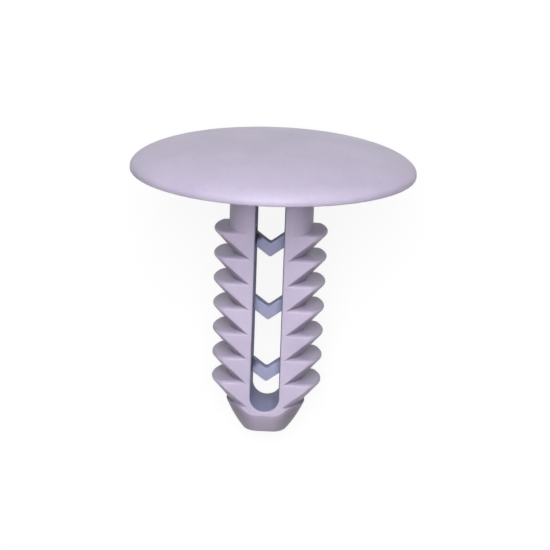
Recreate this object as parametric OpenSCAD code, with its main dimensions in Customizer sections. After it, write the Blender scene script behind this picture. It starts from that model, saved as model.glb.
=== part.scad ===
// Push-in trim clip: a thin domed head on a split, barbed shank, moulded in one piece.
// It is drawn upright, with the seat under the head at z = 0 and the shank below it,
// and is then laid on its side, as it comes to rest on its rim and the flat of its nose.

/* [Head] */
// Diameter of the head
head_d = 25; // [18:0.5:36]
// Height of the straight edge of the head
rim_h = 0.3; // [0.1:0.05:1]
// Height of the dome over that edge
dome_h = 2.4; // [1:0.1:5]

/* [Shank] */
// Diameter of the plain neck under the head
neck_d = 7.4; // [6.6:0.1:9]
// Radius of the fillet between the neck and the head
neck_fillet = 0.4; // [0.1:0.05:1]
// Thickness of the shank between its two flats
flats_t = 4.9; // [4.5:0.1:5.3]

/* [Barbs] */
// Number of barbs on each leg
barb_count = 7; // [3:1:12]
// Distance from one barb to the next
barb_pitch = 2.3; // [1.8:0.1:3.2]
// Distance from the seat to the first barb
barb_start = 5.05; // [3:0.05:9]
// Diameter over the tips of the first barb
barb_d = 10; // [8.6:0.1:12]
// Diameter over the tips of the last barb
last_barb_d = 9.8; // [8.6:0.1:12]
// Diameter at the root of the barbs
root_d = 6.35; // [6:0.05:7]
// Radius of the rounded tip of a barb
barb_tip_r = 0.2; // [0.05:0.01:0.3]

/* [Nose] */
// Width of the nose at its shoulder
nose_w = 7.05; // [6.7:0.05:8]
// Width of the blunt end of the nose
nose_end_w = 3.7; // [3.2:0.1:4.4]
// Width of the straight middle of the nose, between its two round sides
nose_mid_w = 1.35; // [0.6:0.05:1.8]
// Length of the nose from its shoulder to its end
nose_l = 2.85; // [2:0.05:5]
// Radius of the swell along the taper of the nose
nose_swell_r = 12; // [6:0.5:40]
// Radius of the rounded edge of the blunt end
nose_edge_r = 0.55; // [0.1:0.05:0.8]

/* [Slot] */
// Width of the slot at the middle of the shank, where it is narrowest
slot_w = 2.35; // [1.6:0.05:3]
// Draft of the slot's walls towards both flats, in degrees
slot_draft = 3; // [0.5:0.5:6]
// Thickness left between the slot and the end of the nose
slot_floor_t = 2.4; // [1.5:0.1:4]

/* [Webs] */
// Distance from the seat to the upper point of the first web
web_start = 6.4; // [5:0.1:10]
// Distance from one web to the next
web_pitch = 5.85; // [3:0.05:8]
// Height of a web, measured along the shank
web_h = 1.25; // [0.6:0.05:1.8]
// Depth of a web from front to back
web_depth = 1.05; // [0.5:0.05:2]
// Slope of the two arms of a web, in degrees
web_slope = 37; // [20:1:50]
// Radius of the rounded point of a web
web_point_r = 0.25; // [0.1:0.05:0.5]

/* [Hidden] */
$fn = 96;
dome_steps = 24;
swell_steps = 8;
edge_steps = 6;
head_r = head_d / 2;
neck_r = neck_d / 2;
root_r = root_d / 2;
flat_y = flats_t / 2;

// The barbs lose a little of their diameter from the first to the last
function barb_r(i) = (barb_d + (last_barb_d - barb_d) * i / (barb_count - 1)) / 2;
function catch_z(i) = -barb_start - i * barb_pitch;

// Points on an arc, from one direction to another in degrees
function arc(centre, r, from, to, steps, first = 0) =
    [for (i = [first:steps]) let (a = from + (to - from) * i / steps) centre + r * [cos(a), sin(a)]];

// The lead-in leaves a barb's round tip as a tangent and ends at the next barb's root
function tip_centre(i) = [barb_r(i) - barb_tip_r, catch_z(i) - barb_tip_r];
function lead_run(i) = tip_centre(i) - [root_r, catch_z(i + 1)];
function lead_angle(i) = acos(-barb_tip_r / norm(lead_run(i))) - atan2(lead_run(i).y, lead_run(i).x);

// The nose swells on an arc from its shoulder to its end, seen from the axis of a round side
shoulder_z = catch_z(barb_count);
end_z = shoulder_z - nose_l;
nose_chord = [(nose_w - nose_end_w) / 2, nose_l];
nose_mid = [(nose_w + nose_end_w) / 4 - nose_mid_w / 2, shoulder_z - nose_l / 2];
nose_depth = sqrt(pow(nose_swell_r, 2) - pow(norm(nose_chord) / 2, 2));
nose_inward = [-nose_chord.y, nose_chord.x] / norm(nose_chord);
nose_centre = nose_mid + nose_inward * nose_depth;
shoulder_angle = asin((shoulder_z - nose_centre.y) / nose_swell_r);

// The end's rounded edge touches that arc and the blunt end
edge_z = end_z + nose_edge_r;
edge_reach = nose_swell_r - nose_edge_r;
edge_x = nose_centre.x + sqrt(pow(edge_reach, 2) - pow(edge_z - nose_centre.y, 2));
edge_angle = asin((edge_z - nose_centre.y) / edge_reach);

// The slot opens from its middle to both flats and ends in a round floor
slot_r = slot_w / 2;
slot_face_r = slot_r + flat_y * tan(slot_draft);
slot_z = end_z + slot_floor_t + slot_face_r;

// A web is repeated for as long as the straight part of the slot takes another one
web_count = floor((-slot_z - web_start - web_h) / web_pitch) + 1;

// At rest the rim and the lower end of the flat touch the ground
flat_end_z = nose_centre.y - sqrt(pow(nose_swell_r, 2) - pow(flat_y - nose_centre.x, 2));
rest_tilt = atan((head_r - flat_y) / -flat_end_z);
rest_front = norm([head_r * sin(rest_tilt), dome_h * cos(rest_tilt)]) + rim_h * cos(rest_tilt);
rest_back = edge_x * sin(rest_tilt) - edge_z * cos(rest_tilt) + nose_edge_r;
rest_place = [0, (rest_back - rest_front) / 2, head_r * cos(rest_tilt)];

// Half section of the head: a flat seat, a straight edge and a dome of elliptic section
module head_section() {
    dome = [for (i = [0:dome_steps])
        let (a = 90 * i / dome_steps) [head_r * cos(a), rim_h + dome_h * sin(a)]];
    polygon(concat([[0, 0], [head_r, 0]], dome));
}

// Half section of the neck and the barbs, before the flats and the slot. Each barb has a flat
// catch face, a round tip and a sloped lead-in that ends at the root of the next one.
// The last lead-in runs on into the nose.
module barbed_section() {
    fillet = arc([neck_r + neck_fillet, -neck_fillet], neck_fillet, 90, 180, edge_steps);
    tips = [for (i = [0:barb_count - 1]) arc(tip_centre(i), barb_tip_r, 90, -lead_angle(i), edge_steps)];
    roots = [for (i = [1:barb_count - 1]) [root_r, catch_z(i)]];
    last = lead_angle(barb_count - 1);
    inside = [root_r, shoulder_z] - nose_edge_r * [sin(last), cos(last)];
    polygon(concat(
        [[0, rim_h], [neck_r + neck_fillet, rim_h]], fillet, [[neck_r, catch_z(0)]],
        [for (i = [0:barb_count - 2]) each concat(tips[i], [roots[i]])],
        tips[barb_count - 1], [inside, [0, inside.y]]
    ));
}

// Half section of the nose: a small shoulder, a swelling taper and a blunt round-edged end
module nose_section() {
    swell = arc(nose_centre, nose_swell_r, shoulder_angle, edge_angle, swell_steps);
    end_edge = arc([edge_x, edge_z], nose_edge_r, edge_angle, -90, edge_steps, 1);
    polygon(concat([[0, shoulder_z]], swell, end_edge, [[0, end_z]]));
}

// One round side of the nose
module nose_side() {
    translate([nose_mid_w / 2, 0, 0]) rotate([0, 0, -90]) rotate_extrude(angle = 180) nose_section();
}

// The nose has two round sides and a straight middle, and so it is wider than it is thick
module nose() {
    nose_side();
    mirror([1, 0, 0]) nose_side();
    rotate([90, 0, 90]) linear_extrude(nose_mid_w, center = true) {
        nose_section();
        mirror([1, 0]) nose_section();
    }
}

// One half of the slot, from the middle of the shank out past one flat
module half_slot() {
    depth = flats_t;
    wide_r = slot_r + depth * tan(slot_draft);
    translate([0, 0, slot_z]) rotate([-90, 0, 0]) cylinder(h = depth, r1 = slot_r, r2 = wide_r);
    translate([0, 0, slot_z]) linear_extrude(rim_h - slot_z)
        polygon([[-slot_r, 0], [slot_r, 0], [wide_r, depth], [-wide_r, depth]]);
}

// A V-shaped spring web with a rounded point across the slot, at the middle of the shank
module web() {
    point = arc([0, web_point_r], web_point_r, -90 - web_slope, -90 + web_slope, edge_steps);
    touch = web_point_r * [sin(web_slope), 1 - cos(web_slope)];
    reach = [slot_face_r, touch.y + (slot_face_r - touch.x) * tan(web_slope)];
    upper = concat([[-reach.x, reach.y]], point, [reach]);
    lower = [for (i = [len(upper) - 1:-1:0]) upper[i] - [0, web_h]];
    rotate([90, 0, 0]) linear_extrude(web_depth, center = true) polygon(concat(upper, lower));
}

module shank() {
    difference() {
        intersection() {
            union() {
                rotate_extrude() barbed_section();
                nose();
            }
            translate([-head_r, -flat_y, end_z - rim_h]) cube([head_d, flats_t, 2 * rim_h - end_z]);
        }
        half_slot();
        mirror([0, 1, 0]) half_slot();
    }
    for (i = [0:web_count - 1]) translate([0, 0, -web_start - i * web_pitch]) web();
}

module trim_clip() {
    color("#cbc1d2") translate(rest_place) rotate([rest_tilt - 90, 0, 0]) {
        rotate_extrude() head_section();
        shank();
    }
}

trim_clip();
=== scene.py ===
import math

import bmesh
import bpy
from mathutils import Matrix, Vector


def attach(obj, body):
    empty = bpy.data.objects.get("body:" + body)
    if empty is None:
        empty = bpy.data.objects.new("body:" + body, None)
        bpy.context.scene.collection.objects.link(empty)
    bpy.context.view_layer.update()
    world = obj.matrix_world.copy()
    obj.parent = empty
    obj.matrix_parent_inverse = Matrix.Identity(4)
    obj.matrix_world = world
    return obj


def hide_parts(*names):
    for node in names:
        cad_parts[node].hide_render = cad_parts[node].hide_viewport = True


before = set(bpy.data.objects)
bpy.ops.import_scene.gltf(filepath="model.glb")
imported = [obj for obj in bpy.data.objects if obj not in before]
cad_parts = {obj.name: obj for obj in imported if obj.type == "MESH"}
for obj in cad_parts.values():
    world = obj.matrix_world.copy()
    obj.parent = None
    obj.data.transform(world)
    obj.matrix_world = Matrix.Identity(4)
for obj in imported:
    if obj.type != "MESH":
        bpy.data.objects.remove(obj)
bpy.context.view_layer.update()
bpy.context.scene.view_settings.view_transform = "Standard"


# Shank: two springy legs with a row of barbs on each, joined at a blunt oval nose.
# It is moulded nylon. The mould's halves part to the front and the back, so the front and
# the back are flat, the slot between the legs widens to both, and the sides are round.
FLAT = 2.45                  # from the middle to a flat; sizes are in mm, with the seat at z = 0
NECK_R, NECK_FILLET = 3.7, 0.4
BARBS, BARB_PITCH, BARB_START = 7, 2.3, 5.05
BARB_R, LAST_BARB_R, ROOT_R, TIP_R, ROOT_EASE = 5.0, 4.9, 3.175, 0.2, 0.12
NOSE_MID, NOSE_R, NOSE_END_R, NOSE_L = 0.675, 2.85, 1.175, 2.85
NOSE_SWELL, NOSE_EDGE = 12.0, 0.55
SLOT_R, SLOT_FLOOR = 1.175, 2.4
SLOT_DRAFT = math.tan(math.radians(3))
OVAL = 1.12                  # the sides are a little oval: wider than they are thick
# The flats' edges are rounded: how far the round comes in and down, and how far back it starts
NECK_IN, BARB_IN, TIP_IN = Vector((0.55, 0)), Vector((0.12, 0.22)), Vector((0.36, 0.24))
NOSE_IN, EDGE_BACK = Vector((0.1, 0.06)), 0.6
SLOT_IN, SLOT_EDGE_BACK = 0.12, 0.14
NOSE_STEPS, WALL_STEPS, FLOOR_STEPS = 30, 12, 24
EDGE_SLICES, MIDDLE_SLICES = 9, 14

shoulder_z = -BARB_START - BARBS * BARB_PITCH
end_z = shoulder_z - NOSE_L
slot_z = end_z + SLOT_FLOOR + SLOT_R + FLAT * SLOT_DRAFT


def arc(centre, radius, start, stop, steps):
    """Points on an arc in the front view, from one direction to another in degrees."""
    turns = [math.radians(start + (stop - start) * i / steps) for i in range(steps + 1)]
    return [centre + radius * Vector((math.cos(a), math.sin(a))) for a in turns]


def eased(before, corner, after):
    """A corner of the outline with a small round in it."""
    a = corner + (before - corner).normalized() * ROOT_EASE
    b = corner + (after - corner).normalized() * ROOT_EASE
    return [a.lerp(corner, t).lerp(corner.lerp(b, t), t) for t in (0, 1 / 3, 2 / 3, 1)]


# Marks along the right side, from the head down: the fillet, the neck, the barbs and the nose.
# A mark has its kind, its side, what places it, and how far the flat's round draws it in.
fillet = arc(Vector((NECK_R + NECK_FILLET, -NECK_FILLET)), NECK_FILLET, 90, 180, 6)
right = [("turned", 1, p, NECK_IN) for p in fillet]
for i in range(BARBS):
    catch = -BARB_START - i * BARB_PITCH
    reach = BARB_R + (LAST_BARB_R - BARB_R) * i / (BARBS - 1) - TIP_R
    tip = Vector((reach, catch - TIP_R))
    root = Vector((ROOT_R, catch - BARB_PITCH))
    run = tip - root
    lead = math.degrees(math.acos(-TIP_R / run.length) - math.atan2(run.y, run.x))
    round_tip = arc(tip, TIP_R, 90, -lead, 8)
    inner = Vector((NECK_R if i == 0 else ROOT_R, catch))
    inner_in = Vector((NECK_IN.x, BARB_IN.y)) if i == 0 else BARB_IN
    right += [("turned", 1, p, inner_in) for p in eased(right[-1][2], inner, round_tip[0])]
    right += [("turned", 1, p, TIP_IN) for p in round_tip]
right.append(("turned", 1, Vector((ROOT_R, shoulder_z)), Vector((BARB_IN.x, NOSE_IN.y))))
for i in range(NOSE_STEPS + 1):
    along = i / NOSE_STEPS
    drawn_in = Vector((NOSE_IN.x * (1 - along), NOSE_IN.y * (1 - 2 * along)))
    right.append(("nose", 1, 1 - along, drawn_in))

# The left side mirrors it. Between the legs the slot runs down to a round floor and up again.
left = [(kind, -1, value, inwards) for kind, _, value, inwards in reversed(right)]
walls = [slot_z * i / WALL_STEPS for i in range(WALL_STEPS)]
slot = [("wall", -1, z, None) for z in walls]
slot += [("floor", 0, math.radians(-90 + 180 * i / FLOOR_STEPS), None) for i in range(FLOOR_STEPS + 1)]
slot += [("wall", 1, z, None) for z in reversed(walls)]
outline = right + left + slot

# Along the nose, a long swell runs from the shoulder to the rounded edge of the blunt end.
chord = Vector((NOSE_R - NOSE_END_R, NOSE_L))
middle = Vector(((NOSE_R + NOSE_END_R) / 2, shoulder_z - NOSE_L / 2))
to_centre = Vector((-chord.y, chord.x)).normalized()
swell = middle + to_centre * math.sqrt(NOSE_SWELL ** 2 - (chord.length / 2) ** 2)
edge_z = end_z + NOSE_EDGE
edge_x = swell.x + math.sqrt((NOSE_SWELL - NOSE_EDGE) ** 2 - (edge_z - swell.y) ** 2)
edge_touch = swell.x + (edge_x - swell.x) * NOSE_SWELL / (NOSE_SWELL - NOSE_EDGE)


def nose_z(distance):
    """How low the nose's surface lies at a distance from the line between its round sides."""
    if distance > edge_touch:
        return swell.y - math.sqrt(NOSE_SWELL ** 2 - (distance - swell.x) ** 2)
    if distance > edge_x:
        return edge_z - math.sqrt(NOSE_EDGE ** 2 - (distance - edge_x) ** 2)
    return end_z


def rounding(y, back):
    """How far a round that starts this far back from a flat has come in at depth y, from 0 to 1."""
    part = max(0, abs(y) - FLAT + back) / back
    return 1 - math.sqrt(max(0, 1 - part ** 2))


def place(mark, y):
    """Where a mark of the outline lies in the slice at depth y: its x and z."""
    kind, side, value, inwards = mark
    half = SLOT_R + abs(y) * SLOT_DRAFT + SLOT_IN * rounding(y, SLOT_EDGE_BACK)
    if kind == "floor":
        return half * math.sin(value), slot_z - half * math.cos(value)
    if kind == "wall":
        return side * half, value
    if kind == "nose":
        run = value * math.sqrt(NOSE_R ** 2 - y ** 2)
        x, z = NOSE_MID + run, nose_z(math.hypot(run, y))
    else:
        x, z = math.sqrt(value.x ** 2 - (OVAL * y) ** 2), value.y
    come_in = rounding(y, EDGE_BACK)
    return side * (x - come_in * inwards.x), z - come_in * inwards.y


def filled(points, y):
    """A face with the outline through these points of the front view, at depth y."""
    verts = [clip.verts.new((x, y, z)) for x, z in points]
    edges = [clip.edges.new(pair) for pair in zip(verts, verts[1:] + verts[:1])]
    return verts, bmesh.ops.edgeloop_fill(clip, edges=edges)["faces"]


# The shank grows slice by slice from the front flat to the back one, with close slices at both.
quarter = [math.radians(90 * i / EDGE_SLICES) for i in range(EDGE_SLICES + 1)]
near_back = [FLAT - EDGE_BACK * (1 - math.sin(a)) for a in quarter]
between = [(FLAT - EDGE_BACK) * i / MIDDLE_SLICES for i in range(1 - MIDDLE_SLICES, MIDDLE_SLICES)]
depths = [-y for y in reversed(near_back)] + between + near_back
clip = bmesh.new()
mark_of = clip.verts.layers.int.new("mark")
verts, front = filled([place(mark, -FLAT) for mark in outline], -FLAT)
for number, vert in enumerate(verts):
    vert[mark_of] = number
for y in depths[1:]:
    grown = bmesh.ops.extrude_face_region(clip, geom=front)["geom"]
    if y != depths[1]:
        bmesh.ops.delete(clip, geom=front, context="FACES_ONLY")
    front = [f for f in grown if isinstance(f, bmesh.types.BMFace)]
    for vert in front[0].verts:
        x, z = place(outline[vert[mark_of]], y)
        vert.co = (x, y, z)

# Painted shade darkens the notches and the sides of the nose; none is painted on the flats.
SHADE_REACH, CATCH_SHADE, NOSE_SHADE = 2.3, 0.25, 0.3
shade_of = clip.verts.layers.float.new("painted_shade")
for vert in clip.verts:
    kind, _, value, _ = outline[vert[mark_of]]
    amount = 0.0
    if kind == "nose":
        amount = min(1, NOSE_SHADE + value)
    if kind == "turned" and value.y < -BARB_START - BARB_PITCH / 2:
        level = (-value.y - BARB_START) / BARB_PITCH
        on_catch_face = abs(level - round(level)) < 0.001
        amount = max(0, 1 - (value.x - ROOT_R) / SHADE_REACH) * (CATCH_SHADE if on_catch_face else 1.0)
    vert[shade_of] = amount * (1 - rounding(vert.co.y, EDGE_BACK))

# The legs are open at the top, where the head joins them.
tops = [f for f in clip.faces if max(abs(v.co.z) for v in f.verts) < 1e-4]
bmesh.ops.delete(clip, geom=tops, context="FACES")


# Head: a thin round dome with a flat seat below, which presses on the trim panel.
# It is part of the same moulding. Its outer edge is a narrow rounded band.
HEAD_R, RIM_H, DOME_H, RIM_EDGE = 12.5, 0.3, 2.4, 0.13
DOME_STEPS, TURN_STEPS = 32, 144

section = arc(Vector((HEAD_R - RIM_EDGE, RIM_EDGE)), RIM_EDGE, -90, 0, 4)
for i in range(DOME_STEPS + 1):
    a = math.radians(90 * i / DOME_STEPS)
    section.append(Vector((HEAD_R * math.cos(a), RIM_H + DOME_H * math.sin(a))))
verts = [clip.verts.new((p.x, 0, p.y)) for p in section]
edges = [clip.edges.new(pair) for pair in zip(verts, verts[1:])]
bmesh.ops.spin(clip, geom=verts + edges, cent=(0, 0, 0), axis=(0, 0, 1), angle=2 * math.pi,
               steps=TURN_STEPS, use_merge=True)
bmesh.ops.remove_doubles(clip, verts=clip.verts[:], dist=1e-4)

# The seat fills the ring between the head's edge and the tops of the legs.
open_edges = [e for e in clip.edges if e.is_boundary and max(abs(v.co.z) for v in e.verts) < 1e-3]
bmesh.ops.triangle_fill(clip, use_beauty=True, edges=open_edges)


# Spring webs: thin V-shaped bars across the slot that push the legs apart again.
# They are moulded with the legs, half way between the flats, and run into the slot's walls.
WEBS, WEB_START, WEB_PITCH, WEB_H, WEB_DEPTH = 3, 6.4, 5.85, 1.25, 1.05
WEB_SLOPE, WEB_POINT_R, WEB_EDGE, WEB_RUN_IN = 37, 0.25, 0.09, 0.12

web_end = SLOT_R + WEB_RUN_IN
point = arc(Vector((0, WEB_POINT_R)), WEB_POINT_R, -90 - WEB_SLOPE, -90 + WEB_SLOPE, 6)
rise = (web_end - point[-1].x) * math.tan(math.radians(WEB_SLOPE))
upper = [Vector((-web_end, point[0].y + rise))] + point + [Vector((web_end, point[-1].y + rise))]
lower = [p - Vector((0, WEB_H)) for p in reversed(upper)]
for number in range(WEBS):
    drop = -WEB_START - number * WEB_PITCH
    verts, face = filled([(p.x, p.y + drop) for p in upper + lower], -WEB_DEPTH / 2)
    grown = bmesh.ops.extrude_face_region(clip, geom=face)["geom"]
    back = [v for v in grown if isinstance(v, bmesh.types.BMVert)]
    bmesh.ops.translate(clip, vec=(0, WEB_DEPTH, 0), verts=back)
    sides = dict.fromkeys(e for v in verts + back for e in v.link_edges)
    rims = [e for e in sides if abs(e.verts[0].co.y - e.verts[1].co.y) < 1e-5]
    bmesh.ops.bevel(clip, geom=rims, offset=WEB_EDGE, offset_type="OFFSET", affect="EDGES",
                    segments=2, profile=0.5, material=-1, clamp_overlap=True)

# The finished moulding is laid on its side: it rests on its rim and on the end of a flat.
# The faces in the slot are kept apart, because they get a painted bluish-grey shade and a duller
# finish.
REST_TILT, REST_Y, REST_Z = 24.5365, 8.17698, 11.3712
SKIN, SHARP = 0.02, 38       # how close to a surface still counts, mm; angle of a sharp edge
bmesh.ops.recalc_face_normals(clip, faces=clip.faces[:])
in_slot = clip.faces.layers.float.new("in_slot")
for face in clip.faces:
    face.smooth = True
    x, y, z = face.calc_center_median()
    deep = z < -SKIN and abs(y) < FLAT - SKIN
    near = math.hypot(x, min(0, z - slot_z)) < SLOT_R + abs(y) * SLOT_DRAFT + SKIN
    face[in_slot] = 1.0 if deep and near else 0.0
for edge in clip.edges:
    edge.smooth = edge.calc_face_angle(0) < math.radians(SHARP)
lay_down = (Matrix.Scale(0.001, 4) @ Matrix.Translation((0, REST_Y, REST_Z))
            @ Matrix.Rotation(math.radians(REST_TILT - 90), 4, "X"))
bmesh.ops.transform(clip, matrix=lay_down, verts=clip.verts[:])
mesh = bpy.data.meshes.new("moulded_clip")
clip.to_mesh(mesh)
clip.free()
moulding = bpy.data.objects.new("moulded_clip", mesh)
bpy.context.scene.collection.objects.link(moulding)
weighted = moulding.modifiers.new("flat_faces", "WEIGHTED_NORMAL")
weighted.keep_sharp = True
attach(moulding, "root")
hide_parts("trim_clip")


# Moulded nylon: a light lilac polyamide, dyed through, with the satin skin of a blasted mould.
# Light goes a little way into it, so its shade is soft. It is faintly cloudy, with a fine grain.
# In the slot it is painted greyer and bluer as shade, the notches are painted darker as shade, and
# painted shadow darkens two webs' corners.
CLOUD, GRAIN = 4.0, 0.35     # sizes of the pattern in mm; the real grain is finer than shows
DARK_SPOTS = [                     # place on the upright clip, radius in mm, strength
    # painted shadow in the corner where the first web meets the left wall
    ((-1.24, -1.1, -5.6), 0.95, 0.95),
    # painted shadow where the third web meets the left wall
    ((-1.24, -1.1, -17.5), 0.9, 0.7),
    # a faint dark smudge by the back of the head's rim
    ((0.45, 11.9, 1.0), 0.6, 0.15),
]


def linear(colour):
    """A colour written as sRGB hex, as linear values."""
    parts = [int(colour[i:i + 2], 16) / 255 for i in (1, 3, 5)]
    return [c / 12.92 if c <= 0.04045 else ((c + 0.055) / 1.055) ** 2.4 for c in parts] + [1]


def add(tree, kind, settings=None, links=None):
    """Adds a node with its settings, and links its inputs to other nodes' outputs."""
    node = tree.nodes.new(kind)
    for name, value in (settings or {}).items():
        if isinstance(name, int) or name in node.inputs:
            node.inputs[name].default_value = value
        else:
            setattr(node, name, value)
    for name, output in (links or {}).items():
        tree.links.new(output, node.inputs[name])
    return node


nylon = bpy.data.materials.new("moulded_nylon")
nylon.use_nodes = True
tree = nylon.node_tree
tree.nodes.clear()
spot = add(tree, "ShaderNodeTexCoord").outputs["Object"]
cloud = add(tree, "ShaderNodeTexNoise", {"Scale": 1000 / CLOUD, "Detail": 3}, {"Vector": spot})
grain = add(tree, "ShaderNodeTexNoise", {"Scale": 1000 / GRAIN, "Detail": 2}, {"Vector": spot})
tint = add(tree, "ShaderNodeValToRGB", {}, {"Fac": cloud.outputs["Fac"]})
tint.color_ramp.elements[0].position = 0.35
tint.color_ramp.elements[0].color = linear("#c7bfd8")
tint.color_ramp.elements[1].position = 0.65
tint.color_ramp.elements[1].color = linear("#cfc7df")
fleck = add(tree, "ShaderNodeMapRange",
            {"From Min": 0.3, "From Max": 0.7, "To Min": 0.0, "To Max": 0.1},
            {"Value": grain.outputs["Fac"]})
skin = add(tree, "ShaderNodeMixRGB", {"Color2": linear("#a79fb6")},
           {"Fac": fleck.outputs["Result"], "Color1": tint.outputs["Color"]})

# The painted shade is a little patchy
painted_shade = add(tree, "ShaderNodeAttribute", {"attribute_name": "painted_shade"})
patchy = add(tree, "ShaderNodeMapRange",
             {"From Min": 0.3, "From Max": 0.7, "To Min": 0.5, "To Max": 0.75},
             {"Value": cloud.outputs["Fac"]})
shade_amount = add(tree, "ShaderNodeMath", {"operation": "MULTIPLY"},
           {0: painted_shade.outputs["Fac"], 1: patchy.outputs["Result"]})
# Painted shade: the notches and the nose's sides are darkened towards a deep grey-lilac
shaded_skin = add(tree, "ShaderNodeMixRGB", {"Color2": linear("#6c6272")},
            {"Fac": shade_amount.outputs[0], "Color1": skin.outputs["Color"]})
hollow = add(tree, "ShaderNodeAttribute", {"attribute_name": "in_slot"})
# Painted shade: the faces in the slot are tinted greyer and bluer
colour = add(tree, "ShaderNodeMixRGB", {"Color2": linear("#a1a4c2")},
             {"Fac": hollow.outputs["Fac"], "Color1": shaded_skin.outputs["Color"]})

# Each dark spot fades out over the last third of its radius; the two at the webs are painted shadow
for centre, radius, strength in DARK_SPOTS:
    away = add(tree, "ShaderNodeVectorMath", {"operation": "DISTANCE", 1: lay_down @ Vector(centre)},
               {0: spot})
    patch = add(tree, "ShaderNodeMapRange",
                {"From Min": radius * 0.0007, "From Max": radius * 0.001,
                 "To Min": strength, "To Max": 0.0},
                {"Value": away.outputs["Value"]})
    colour = add(tree, "ShaderNodeMixRGB", {"Color2": linear("#1c1c22")},
                 {"Fac": patch.outputs["Result"], "Color1": colour.outputs["Color"]})
satin = add(tree, "ShaderNodeMapRange", {"To Min": 0.36, "To Max": 0.46},
            {"Value": grain.outputs["Fac"]})
dull = add(tree, "ShaderNodeMath", {"operation": "MULTIPLY_ADD", 1: 0.25},
           {0: hollow.outputs["Fac"], 2: satin.outputs["Result"]})
relief = add(tree, "ShaderNodeBump", {"Strength": 0.15, "Distance": 0.00005},
             {"Height": grain.outputs["Fac"]})
surface = add(tree, "ShaderNodeBsdfPrincipled",
              {"IOR": 1.53, "Specular IOR Level": 0.3, "Subsurface Weight": 0.5,
               "Subsurface Scale": 0.0015, "Subsurface Radius": (1.0, 0.6, 0.65)},
              {"Base Color": colour.outputs["Color"], "Roughness": dull.outputs[0],
               "Normal": relief.outputs["Normal"]})
add(tree, "ShaderNodeOutputMaterial", {}, {"Surface": surface.outputs["BSDF"]})
moulding.data.materials.append(nylon)


# Floor: a plain white studio table. It looks white to the camera and in reflections,
# and still takes the clip's soft shadow.
table = bmesh.new()
bmesh.ops.create_grid(table, x_segments=1, y_segments=1, size=1.5)
mesh = bpy.data.meshes.new("floor")
table.to_mesh(mesh)
table.free()
floor = bpy.data.objects.new("floor", mesh)
bpy.context.scene.collection.objects.link(floor)
paper = bpy.data.materials.new("white_table")
paper.use_nodes = True
tree = paper.node_tree
tree.nodes.clear()
path = add(tree, "ShaderNodeLightPath")
mirrored = add(tree, "ShaderNodeMath", {"operation": "MAXIMUM"},
               {0: path.outputs["Is Glossy Ray"], 1: path.outputs["Is Transmission Ray"]})
seen = add(tree, "ShaderNodeMath", {"operation": "MAXIMUM"},
           {0: path.outputs["Is Camera Ray"], 1: mirrored.outputs[0]})
white = add(tree, "ShaderNodeEmission", {"Color": linear("#ffffff"), "Strength": 0.9})
shaded = add(tree, "ShaderNodeBsdfDiffuse", {"Color": linear("#595959")})
bright = add(tree, "ShaderNodeAddShader", {}, {0: white.outputs[0], 1: shaded.outputs[0]})
plain = add(tree, "ShaderNodeBsdfDiffuse", {"Color": linear("#616161")})
both = add(tree, "ShaderNodeMixShader", {},
           {0: seen.outputs[0], 1: plain.outputs[0], 2: bright.outputs[0]})
add(tree, "ShaderNodeOutputMaterial", {}, {"Surface": both.outputs[0]})
mesh.materials.append(paper)


# Light: a long soft box above, from over the nose to beyond the head, a weaker one beyond
# the head for its dome, a faint warm one low before the nose, and a dim room.
def soft_box(name, position, width, length, energy, colour):
    """An oval lamp that points at the origin."""
    light = bpy.data.lights.new(name, "AREA")
    light.shape = "ELLIPSE"
    light.size = width
    light.size_y = length
    light.energy = energy
    light.color = colour
    lamp = bpy.data.objects.new(name, light)
    lamp.location = position
    lamp.rotation_euler = Vector(position).to_track_quat("Z", "Y").to_euler()
    bpy.context.scene.collection.objects.link(lamp)


soft_box("box_above", (0, 0.0, 0.4), 0.3, 0.4, 1.79, (1, 0.985, 0.985))
soft_box("box_beyond", (0.06, 0.36, 0.2), 0.25, 0.25, 0.36, (0.97, 0.99, 1))
soft_box("box_low", (0, -0.33, 0.25), 0.3, 0.3, 0.1, (1, 0.8, 0.82))
sky = bpy.data.worlds.new("studio")
sky.use_nodes = True
ambient = sky.node_tree.nodes["Background"]
ambient.inputs["Color"].default_value = (1, 0.97, 1, 1)
ambient.inputs["Strength"].default_value = 0.075
bpy.context.scene.world = sky


# Camera: in front of the clip and a little above its head, as in the photograph.
# The clip lies on its back, so the camera looks down on it.
AIM, DISTANCE = (0.478, 0, -9.485), 163          # on the upright clip, mm
TURN, RISE, ROLL = 2.228, 16.838, 2.021          # degrees
SENSOR, FOCAL_PIXELS, FRAME_PIXELS = 36, 1835.4, 550
view = bpy.data.cameras.new("view")
view.sensor_width = SENSOR
view.lens = SENSOR * FOCAL_PIXELS / FRAME_PIXELS
view.clip_start = 0.01
eye = bpy.data.objects.new("view", view)
upright = (Matrix.Translation(AIM) @ Matrix.Rotation(math.radians(TURN), 4, "Z")
           @ Matrix.Rotation(math.radians(90 - RISE), 4, "X")
           @ Matrix.Rotation(math.radians(ROLL), 4, "Z") @ Matrix.Translation((0, 0, DISTANCE)))
stand = lay_down @ upright
eye.matrix_world = Matrix.LocRotScale(stand.translation, stand.to_quaternion(), None)
bpy.context.scene.collection.objects.link(eye)
bpy.context.scene.camera = eye
